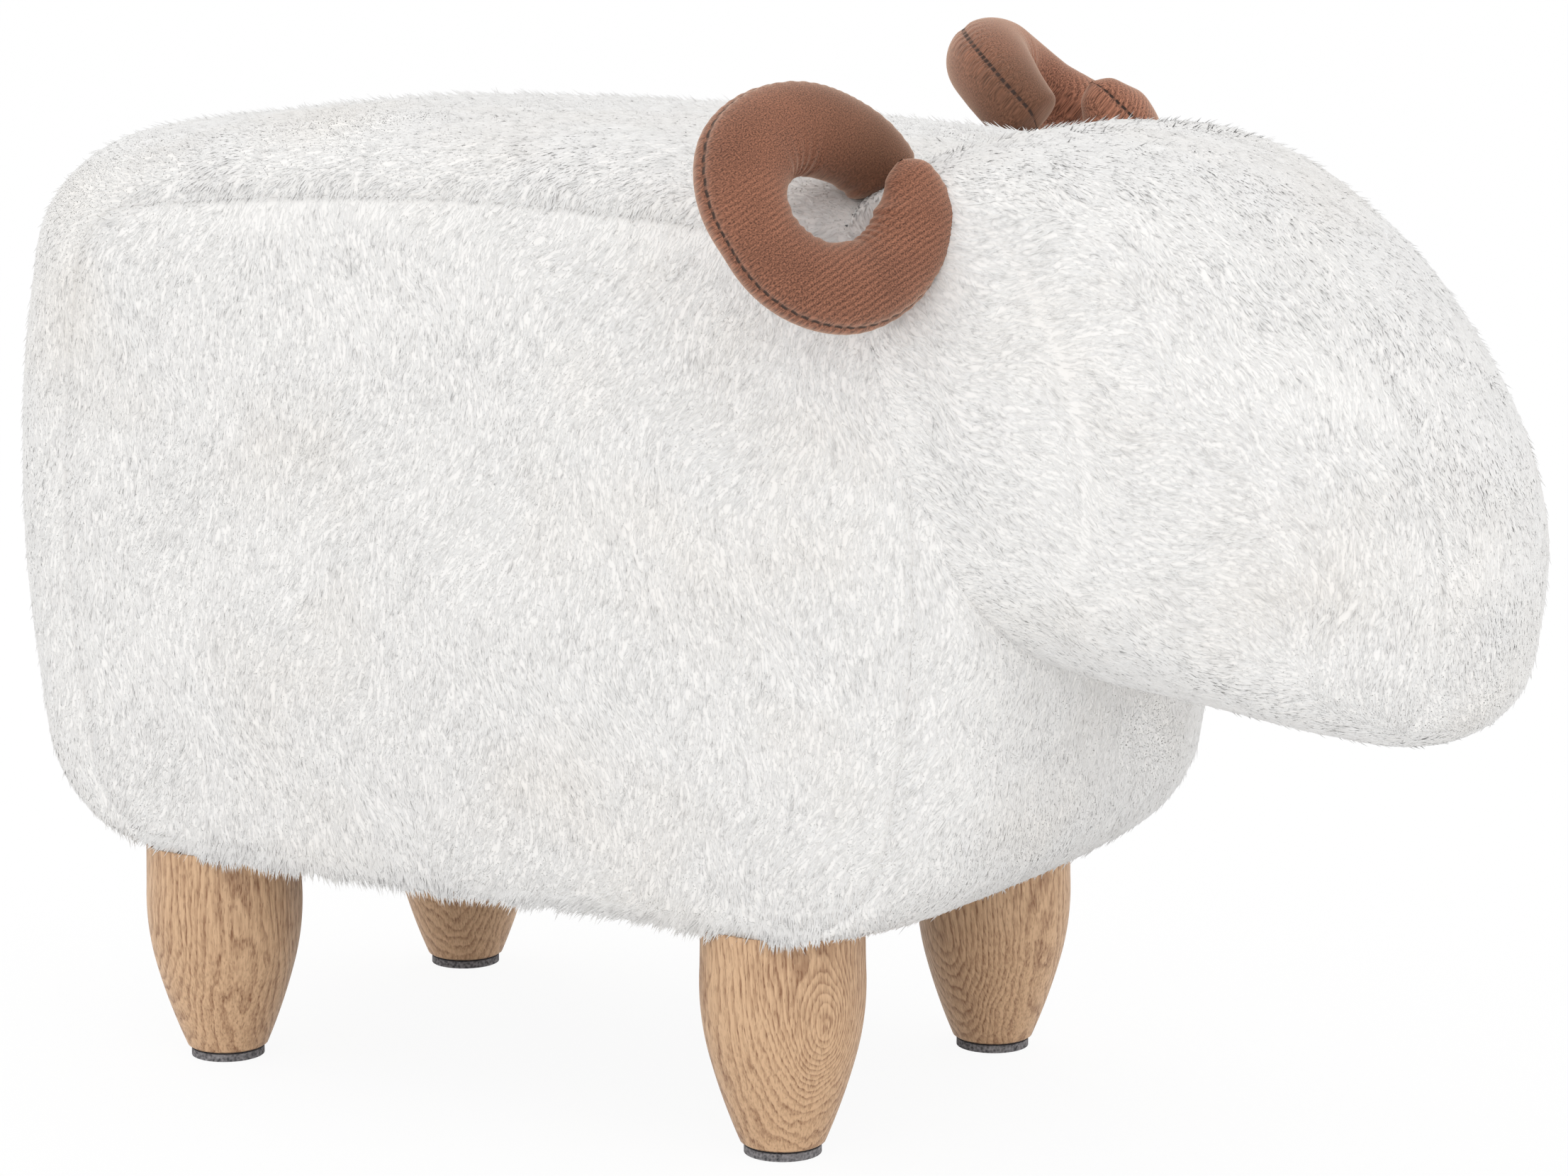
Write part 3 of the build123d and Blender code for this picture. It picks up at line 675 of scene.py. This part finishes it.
def lock_mesh(name, root, normal, nap, length, lift, width, seed):
    """Locks of pile as closed three-sided spikes. A lock's foot is a flat triangle of its width and
    0.3 of that height, sunk lock_sunk mm into the skin, and its tip is at root + nap length + normal lift,
    bent sideways by a chance share of the width. Normals lean from the skin's to the lock's own."""
    rng = np.random.default_rng(seed)
    count = len(root)
    side = np.cross(normal, nap) * width[:, None]
    bend = side * rng.normal(0, 0.6, (count, 1))
    foot = root - normal * lock_sunk
    tip = root + nap * length[:, None] + normal * lift[:, None] + bend
    ridge = root + normal * (0.3 * width[:, None])
    points = np.stack([foot - side / 2, ridge, foot + side / 2, tip], axis=1)
    across = np.cross(normal, nap)
    own = np.stack([-across, normal, across, nap], axis=1)
    mottle = np.stack([slow_noise(root, 41 + way, 13.0) for way in range(3)], axis=-1) * 0.08
    shade = (normal + mottle)[:, None] * (1 - own_shade) + own * own_shade
    shade /= np.linalg.norm(shade, axis=-1, keepdims=True)
    faces = np.array([(0, 3, 1), (1, 3, 2), (2, 3, 0), (0, 1, 2)])
    corners = (faces[None] + (np.arange(count) * 4)[:, None, None]).reshape(-1)
    mesh = bpy.data.meshes.new(name)
    mesh.vertices.add(count * 4)
    mesh.vertices.foreach_set("co", (points * MM).astype(np.float32).ravel())
    mesh.loops.add(corners.size)
    mesh.loops.foreach_set("vertex_index", corners.astype(np.int32))
    mesh.polygons.add(count * 4)
    mesh.polygons.foreach_set("loop_start", np.arange(0, corners.size, 3, dtype=np.int32))
    mesh.update(calc_edges=True)
    mesh.validate()
    chance = rng.uniform(0, 1, count)
    place = np.array([0.0, 0.3, 0.0, 1.0])
    for label, values in (("along", np.tile(place, count)), ("tone", np.repeat(chance, 4))):
        mesh.attributes.new(label, "FLOAT", "POINT").data.foreach_set("value", values.astype(np.float32))
    offsets = np.repeat(chance * 91.0, 4)
    aside = np.tile(np.array([0.0, 0.5, 1.0, 0.5]), count)
    uv = np.stack([aside + offsets, np.tile(place, count) + offsets], axis=1)
    layer = mesh.uv_layers.new(name="lock")
    layer.uv.foreach_set("vector", uv[corners].astype(np.float32).ravel())
    mesh.polygons.foreach_set("use_smooth", np.ones(count * 4, bool))
    mesh.normals_split_custom_set_from_vertices(shade.reshape(-1, 3).astype(np.float32))
    return mesh


def combed(normal, way, turn):
    """Unit nap directions: way laid on the surface and turned about the normal by an angle."""
    flat = way - normal * (way * normal).sum(-1, keepdims=True)
    flat /= np.maximum(np.linalg.norm(flat, axis=-1, keepdims=True), 1e-6)
    return flat * np.cos(turn)[:, None] + np.cross(normal, flat) * np.sin(turn)[:, None]


def body_nap(root, normal):
    """Down on the flanks, rump and chest, turning back along the seat near its edge, with slow
    swirls."""
    high = np.clip((root[:, 2] - seat_z + 75) / 55, 0, 1) * (np.abs(normal[:, 1]) > 0.6)
    flat = np.clip(np.maximum((normal[:, 2] - 0.1) / 0.35, 0.75 * high), 0, 1)[:, None]
    way = np.array([-0.12, 0.0, -1.0]) * (1 - flat) + np.array([-1.0, 0.0, -0.25]) * flat
    turn = 0.65 * slow_noise(root, 21, 120.0) + 0.35 * slow_noise(root, 22, 40.0)
    return combed(normal, way, turn)


def head_nap(root, normal):
    """Forward over the cheeks in ripples, and down the forehead and nose."""
    front = np.clip((normal[:, 0] - 0.25) / 0.5, 0, 1)[:, None]
    way = np.array([1.0, 0.0, -0.25]) * (1 - front) + np.array([0.2, 0.0, -1.0]) * front
    turn = 0.45 * slow_noise(root, 31, 90.0) + 0.4 * slow_noise(root, 32, 30.0)
    return combed(normal, way, turn)


def grow_pile(name, grid, normal, comb, seed, keep, shorten, spacing=1.5):
    """Covers a grid with locks, in as many pieces as the number of locks needs. A few are thin stray
    ones that stand further out, and those near the belly's edge are longer and stand off more."""
    root, up = scattered(grid, normal, spacing, seed)
    stay = keep(root)
    root, up = root[stay], up[stay]
    rng = np.random.default_rng(seed + 1)
    count = len(root)
    trim = shorten(root)
    nap = combed(up, comb(root, up), rng.normal(0, 0.2, count))
    clump = slow_noise(root, seed + 2, 16.0)
    stray = rng.uniform(0, 1, count) < stray_share
    length = lock_length * trim * (1 + 0.12 * clump + rng.normal(0, 0.18, count))
    edge = np.exp(-(((root[:, 2] - belly_z) / edge_width) ** 2)) * (up[:, 2] > -0.9)
    length = length * (1 + 0.45 * edge)
    lift = lock_lift * (1 + 2.5 * edge) * trim * (1 + 0.3 * clump + rng.normal(0, 0.25, count)).clip(0.3, 2.0)
    width = lock_width * rng.uniform(0.7, 1.3, count)
    lift = np.where(stray, lift * (4.0 + 3.0 * up[:, 2].clip(0, 1)), lift)
    width = np.where(stray, width * 0.6, width)
    for number, chosen in enumerate(np.array_split(np.arange(count), -(-count // locks_per_piece))):
        label = f"{name}_{number + 1}"
        chosen = [field[chosen] for field in (root, up, nap, length, lift, width)]
        place_piece(label, lock_mesh(label, *chosen, seed + 10 + number), plush, "plush")


def from_seam(seams, depth, batches=40):
    """How much of its length a lock keeps: less within a few mm of a seam's line, and in the fold
    of the neck, 1.5 mm outside the other form. The roots are measured in batches to save memory."""
    line = np.concatenate(seams)

    def share(root):
        near = np.full(len(root), 1e9)
        for part in np.array_split(np.arange(len(root)), batches):
            gap = root[part][:, None] - line[None]
            near[part] = np.sqrt((gap**2).sum(-1).min(axis=1))
        fold = np.exp(-(((depth(root) + 1.5) / 1.8) ** 2))
        return (1 - 0.2 * np.exp(-((near / 2.0) ** 2))) * (1 - 0.45 * fold)

    return share


def flank_keep(root):
    """The flanks have pile everywhere but inside the neck."""
    return inside_head(root) < pile_reach


def band_keep(root):
    """The band has pile everywhere but inside the neck and on the hem by the dust cover."""
    hem = (root[:, 0] > hem_low.x / MM - hem_margin) & (root[:, 0] < hem_high.x / MM + hem_margin)
    return flank_keep(root) & ~(hem & (root[:, 2] < belly_z + hem_height))


body_trim = from_seam([band[0], band[-1]], inside_head)
for side, name in ((-1, "flank_pile_right"), (1, "flank_pile_left")):
    grow_pile(name, *shapes[side], body_nap, 100 + side, flank_keep, body_trim)
# Thicker pile hangs over the tops of the legs along the flanks' lower edge.
for side, name in ((-1, "hem_fringe_right"), (1, "hem_fringe_left")):
    grow_pile(
        name, *shapes[side], body_nap, 500 + side, lambda root: root[:, 2] < belly_z + fringe_height,
        lambda root: np.full(len(root), fringe_share), fringe_spacing
    )
grow_pile("band_pile", *shapes[0], body_nap, 200, band_keep, body_trim)
head_trim = from_seam([head_parts["head_gusset"][0], head_parts["head_gusset"][-1]], inside_body)
for number, (node, shape) in enumerate(head_shapes.items()):
    grow_pile(
        node + "_pile", *shape, head_nap, 300 + 40 * number,
        lambda root: inside_body(root) < pile_reach, head_trim
    )


# Two horns of brown velvet, each a long tapering bag sewn along its outer edge, stuffed, turned
# once round and tacked to the head at its wide end.
horn_places = {
    "right": ((chest_x - 63.9, 135.6, seat_z - 24.2), (0.761, 0.546, 0.352), 15.0, 384.5),
    "left": ((chest_x - 104.6, 125.6, seat_z - 1.0), (0.538, 0.311, 0.783), 3.0, 350.3),
}
horn_ring, horn_tube, horn_step = 33.0, 18.3, 15.0
line_easing, tube_easing = 90, 12
horn_seam_turn = 0.24  # the seam lies this far round the tube from its outermost line


def eased(values, passes):
    """A row of values or points with its kinks eased, passes times, and its ends kept."""
    for _ in range(passes):
        values[1:-1] = (values[:-2] + 2 * values[1:-1] + values[2:]) / 4
    return values


def horn_grid(centre, facing, start_angle, end_angle, rows=260, columns=72):
    """A tube round one turn of a helix about the facing axis: at the angle a its middle is
    centre + ring (forward cos a + upward sin a) + axis step, and ring, step and tube radius all
    follow the share of the way from root to tip. Returns its points and their two coordinates in
    the plane of the turn, along which the cloth's ribs run straight."""
    axis = np.array(facing) / np.linalg.norm(facing)
    upward = np.array([0, 0, 1.0]) - axis * axis[2]
    upward /= np.linalg.norm(upward)
    forward = np.cross(axis, upward)
    share = np.linspace(0, 1, rows)
    angle = np.radians(start_angle + (end_angle - start_angle) * share)
    places = (0, 0.15, 0.35, 0.5, 0.7, 0.9, 1)
    ring = horn_ring * np.interp(share, places, (1.007, 0.872, 1.051, 0.936, 1.011, 0.916, 0.803))
    tube_places = (0, 0.012, 0.15, 0.35, 0.5, 0.7, 0.9, 0.985, 1)
    tube_shares = (0.05, 0.773, 0.898, 1.004, 0.792, 0.908, 0.805, 0.42, 0.05)
    tube = eased(horn_tube * np.interp(share, tube_places, tube_shares), tube_easing)
    step = horn_step * np.interp(share, (0, 0.2, 0.8, 1), (-0.96, -0.51, 0.35, 0.93))
    outward = np.cos(angle)[:, None] * forward + np.sin(angle)[:, None] * upward
    line = eased(np.array(centre) + outward * ring[:, None] + axis * step[:, None], line_easing)
    along = np.gradient(line, axis=0)
    along /= np.linalg.norm(along, axis=-1, keepdims=True)
    outward = outward - along * (outward * along).sum(-1, keepdims=True)
    outward /= np.linalg.norm(outward, axis=-1, keepdims=True)
    over = np.cross(along, outward)
    turn = np.linspace(0, 2 * np.pi, columns, endpoint=False)
    from_seam_turn = np.abs((turn - horn_seam_turn + np.pi) % (2 * np.pi) - np.pi)
    body = ((share > 0.02) & (share < 0.97))[:, None]
    radius = tube[:, None] * (1 - 0.045 * np.exp(-((from_seam_turn / 0.14) ** 2))[None])
    pucker = np.sin(share * 420 + 3 * np.sin(share * 37))[:, None]
    radius = radius + 0.2 * pucker * np.exp(-((from_seam_turn / 0.4) ** 2))[None] * body
    crease = np.sin(share * 130 + 5 * np.sin(share * 23))[:, None]
    radius = radius + 0.3 * crease * np.exp(-(((turn - np.pi) / 0.9) ** 2))[None] * body
    points = line[:, None] + radius[..., None] * (
        np.cos(turn)[None, :, None] * outward[:, None] + np.sin(turn)[None, :, None] * over[:, None]
    )
    flat = points - np.array(centre)
    return points, np.stack([flat @ forward, flat @ upward], axis=-1)


def velvet_finish(name, rib_turn, light):
    """Brown velvet: a fine grain, straight ribs that come and go, painted shade darker towards the root, a
    dark stitched line along the seam, and a painted pale sheen where the cloth turns away from the eye. The
    light brown is painted brighter on the horn that catches more light."""
    material, tree, shader, relief = new_finish(
        name, bump=0.0003, Roughness=0.85, Sheen_Weight=0.25, Sheen_Roughness=0.5,
        Sheen_Tint=(0.9, 0.6, 0.45, 1)
    )
    uv = put(tree, "UVMap", uv_map="horn").outputs[0]
    around, along = put(tree, "SeparateXYZ", {0: uv}).outputs[:2]
    cloth = put(tree, "UVMap", uv_map="cloth").outputs[0]
    laid = put(tree, "Mapping", {"Vector": cloth, "Rotation": (0, 0, rib_turn)}).outputs[0]
    wander = stretched_noise(tree, laid, (12, 12, 1))
    over_ribs = put(tree, "SeparateXYZ", {0: laid}).outputs[1]
    phase = maths(tree, "MULTIPLY_ADD", over_ribs, 290.0, maths(tree, "MULTIPLY", wander, 6.0))
    rib = maths(tree, "SINE", phase)
    cloud = stretched_noise(tree, laid, (4, 4, 1), 3.0)
    grain = stretched_noise(tree, laid, (170, 190, 1), 3.0)
    from_ribs = maths(tree, "ABSOLUTE", maths(tree, "SUBTRACT", along, 0.72))
    rib_depth = mapped(tree, maths(tree, "SUBTRACT", from_ribs, cloud), -0.4, -0.2, 0.22, 0.03)
    ribbed = maths(tree, "MULTIPLY", rib, rib_depth)
    tone = swayed(tree, ribbed, grain, 3.0)
    tone = swayed(tree, tone, cloud, 0.6)
    tone = mapped(tree, tone, -0.5, 0.5)
    brown = blended(tree, tone, (0.085, 0.029, 0.015, 1), light)
    # Painted shade: darker brown towards the root, where the tube passes behind the tip.
    painted_root_shade = mapped(tree, along, 0.08, 0.3, 0.62, 0.0)
    brown = blended(tree, painted_root_shade, brown, (0.085, 0.036, 0.014, 1))
    # Painted sheen: pale brown mixed in where the surface turns away from the eye.
    turned_away = put(tree, "LayerWeight", {"Blend": 0.35}).outputs["Facing"]
    painted_rim_sheen = maths(tree, "POWER", turned_away, 3.0)
    brown = blended(tree, maths(tree, "MULTIPLY", painted_rim_sheen, 0.75), brown, (0.72, 0.53, 0.41, 1))
    seam_place = horn_seam_turn / (2 * np.pi)
    gone = maths(tree, "FRACT", maths(tree, "ADD", around, 0.5 - seam_place))
    from_seam_line = maths(tree, "ABSOLUTE", maths(tree, "SUBTRACT", gone, 0.5))
    dash = mapped(tree, maths(tree, "SINE", maths(tree, "MULTIPLY", along, 460.0)), -0.7, -0.2, 0.35, 1.0)
    stitch = maths(tree, "MULTIPLY", mapped(tree, from_seam_line, 0.006, 0.011, 1.0, 0.0), dash)
    tree.links.new(blended(tree, stitch, brown, (0.03, 0.013, 0.008, 1)), shader.inputs["Base Color"])
    groove = mapped(tree, from_seam_line, 0.004, 0.018)
    tree.links.new(maths(tree, "MULTIPLY_ADD", tone, 0.5, groove), relief.inputs["Height"])
    return material


# Rib direction and light brown for each horn; the left horn's brighter brown is painted light, as it catches
# more from above.
velvet_ribs_and_painted_light = {"right": (-0.5, (0.38, 0.155, 0.088, 1)), "left": (0.6, (0.47, 0.2, 0.12, 1))}
for side, place in horn_places.items():
    grid, cloth = horn_grid(*place)
    if side == "right":
        grid = grid * np.array([1.0, -1.0, 1.0])
    name = f"horn_velvet_{side}"
    mesh = sheet_mesh(name, grid)
    rows, columns = grid.shape[:2]
    corner = np.zeros(len(mesh.loops), np.int32)
    mesh.loops.foreach_get("vertex_index", corner)
    down, over = np.divmod(corner, columns)
    over = over.reshape(-1, 4).astype(float)
    wraps = (over.max(axis=1) - over.min(axis=1)) > columns / 2
    over[wraps] = np.where(over[wraps] < columns / 2, over[wraps] + columns, over[wraps])
    for label, uv in (
        ("horn", np.stack([over.ravel() / columns, down / (rows - 1)], axis=1)),
        ("cloth", cloth.reshape(-1, 2)[corner] / 100),
    ):
        mesh.uv_layers.new(name=label).uv.foreach_set("vector", uv.astype(np.float32).ravel())
    tidy_mesh(mesh, Vector(grid.mean(axis=(0, 1))) * MM)
    velvet = velvet_finish(f"velvet_{side}", *velvet_ribs_and_painted_light[side])
    horn = place_piece(name, mesh, velvet, "velvet", f"horn_cover_{side}", f"horn_stuffing_{side}")


# Foam and fibre inside the cover. They keep their solids' forms and the face that is glued to the
# box, and are drawn in a little elsewhere, as the tight cover draws them in.
foam_slack = 0.005


def foam_finish(name, light, dark, scale):
    """Open cells or fibres as fine noise."""
    material, tree, shader, relief = new_finish(name, bump=0.0008, Roughness=0.95)
    where = put(tree, "TexCoord").outputs["Object"]
    cells = put(tree, "TexVoronoi", {"Vector": where, "Scale": scale}).outputs[0]
    tree.links.new(blended(tree, mapped(tree, cells, 0.0, 0.8), dark, light), shader.inputs["Base Color"])
    tree.links.new(cells, relief.inputs["Height"])
    return material


foam = foam_finish("cut_foam", (0.88, 0.84, 0.68, 1), (0.6, 0.55, 0.4, 1), 700.0)
fibre_fill = foam_finish("fibre_fill", (0.93, 0.93, 0.93, 1), (0.7, 0.7, 0.7, 1), 300.0)
for node, material, slot, fill, glued in (
    ("seat_foam", foam, "foam", 0.8, (0, 0, -1)),
    ("side_foam_right", foam, "foam", 0.7, (0, 1, 0)),
    ("side_foam_left", foam, "foam", 0.7, (0, -1, 0)),
    ("chest_foam", foam, "foam", 0.8, (-1, 0, 0)),
    ("rump_foam", foam, "foam", 0.8, (1, 0, 0)),
    ("head_stuffing", fibre_fill, "fibre_fill", 0.7, (0, 0, 0)),
):
    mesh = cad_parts[node].data.copy()
    mesh.materials.clear()
    work = bmesh.new()
    work.from_mesh(mesh)
    bmesh.ops.remove_doubles(work, verts=work.verts, dist=1e-6)
    work.to_mesh(mesh)
    work.free()
    low, high = (np.array(corner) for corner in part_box(node))
    fixed = (low + high) / 2 + np.array(glued) * (high - low) / 2
    shrink = 1 - foam_slack * (1 + np.abs(glued)) / (high - low)
    points = np.zeros(len(mesh.vertices) * 3, np.float32)
    mesh.vertices.foreach_get("co", points)
    points = fixed + (points.reshape(-1, 3) - fixed) * shrink
    mesh.vertices.foreach_set("co", points.astype(np.float32).ravel())
    place_piece(node + "_piece", mesh, material, slot, node)


# Thin black non-woven cloth, stapled over the hem to keep dust out of the box. It is tight over the
# legs' tops, sags a little elsewhere and ripples a little towards its edge.
def dust_grid(rows=110, columns=70, sag=1.4, ripple=0.12, wave=29.0, leg_reach=40.0, rise=0.3):
    """The cloth's underside, rise above the cover's box and then let down by
    sag (1 - u^4) (1 - v^4) (1 - exp(-(d/leg_reach)^4)) + ripple m^6 (1 + sin(2 pi (x + y) / wave)),
    where u and v go from -1 to 1, m is the larger of |u| and |v|, and d is the way to a leg."""
    x = np.linspace(hem_low.x, hem_high.x, rows)[:, None] / MM + np.zeros(columns)
    y = np.linspace(hem_low.y, hem_high.y, columns) / MM + np.zeros((rows, 1))
    u, v = np.linspace(-1, 1, rows)[:, None], np.linspace(-1, 1, columns)
    legs = np.array([tuple(middle(node).xy) for node in leg_blanks]) / MM
    away = np.min([np.hypot(x - leg_x, y - leg_y) for leg_x, leg_y in legs], axis=0)
    loose = 1 - np.exp(-((away / leg_reach) ** 4))
    low = sag * (1 - u**4) * (1 - v**4) * loose
    edge = np.maximum(np.abs(u), np.abs(v)) ** 6
    low = low + ripple * edge * (1 + np.sin((x + y) * 2 * np.pi / wave))
    return np.stack([x, y, hem_low.z / MM + rise - low], axis=-1)


def dust_finish():
    """Black non-woven cloth with its grid of weld points."""
    material, tree, shader, relief = new_finish("dust_cloth", bump=0.0002, Roughness=0.9)
    where = put(tree, "TexCoord").outputs["Object"]
    welds = put(tree, "TexVoronoi", {"Vector": where, "Scale": 500.0, "Randomness": 0.15}).outputs[0]
    tree.links.new(
        blended(tree, mapped(tree, welds, 0.2, 0.6), (0.012, 0.012, 0.013, 1), (0.035, 0.035, 0.037, 1)),
        shader.inputs["Base Color"]
    )
    tree.links.new(welds, relief.inputs["Height"])
    return material


dust_mesh = sheet_mesh("dust_cloth", dust_grid(), closed=False)
tidy_mesh(dust_mesh, Vector(body_centre) * MM)
dust_cloth = thicken(place_piece("dust_cloth", dust_mesh, dust_finish(), "dust_cloth", "dust_cover"), 0.5)


# The studio: a white floor that keeps a faint shadow, a white surround, and broad soft lamps.
def seen_rays(tree):
    """1 for rays from the camera, straight or by a reflection, and 0 for the rest."""
    path = put(tree, "LightPath").outputs
    return maths(tree, "MAXIMUM", path["Is Camera Ray"], path["Is Glossy Ray"])


def floor_finish():
    """White for the camera, with a share of the lit floor in it so that the shadow stays."""
    material, tree, shader, _ = new_finish("studio_floor", Base_Color=(0.9, 0.9, 0.9, 1), Roughness=1.0)
    white = put(tree, "Emission", {"Color": (1, 1, 1, 1), "Strength": 1.0}).outputs[0]
    share = maths(tree, "MULTIPLY", seen_rays(tree), 0.93)
    mix = put(tree, "MixShader", {0: share, 1: shader.outputs[0], 2: white}).outputs[0]
    tree.links.new(mix, tree.nodes["Material Output"].inputs["Surface"])
    return material


floor_half = 30.0
world_strength = 1.11  # on the stool; the camera sees 1
lamp_aim = Vector((0, 0, 0.22))
floor_mesh = bpy.data.meshes.new("studio_floor")
floor_mesh.from_pydata(
    [(floor_half * x, floor_half * y, 0) for x, y in ((-1, -1), (1, -1), (1, 1), (-1, 1))],
    [], [(0, 1, 2, 3)]
)
floor_mesh.materials.append(floor_finish())
floor = bpy.data.objects.new("studio_floor", floor_mesh)
bpy.context.scene.collection.objects.link(floor)

world = bpy.data.worlds.new("studio")
bpy.context.scene.world = world
world.use_nodes = True
strength = mapped(world.node_tree, seen_rays(world.node_tree), 0.0, 1.0, world_strength, 1.0)
background = world.node_tree.nodes["Background"]
background.inputs["Color"].default_value = (1, 1, 1, 1)
world.node_tree.links.new(strength, background.inputs["Strength"])

for name, place, size, power in (
    ("lamp_above", (-1.0, -0.3, 2.2), 2.0, 3.0),
    ("lamp_front", (0.2, -2.3, 0.8), 1.6, 2.4),
    ("lamp_side", (2.0, -0.8, 0.25), 1.4, 3.2),
):
    lamp = bpy.data.objects.new(name, bpy.data.lights.new(name, "AREA"))
    lamp.data.size = size
    lamp.data.energy = power
    lamp.location = place
    lamp.rotation_euler = (lamp_aim - Vector(place)).to_track_quat("-Z", "Y").to_euler()
    bpy.context.scene.collection.objects.link(lamp)
bpy.context.scene.view_settings.view_transform = "Standard"
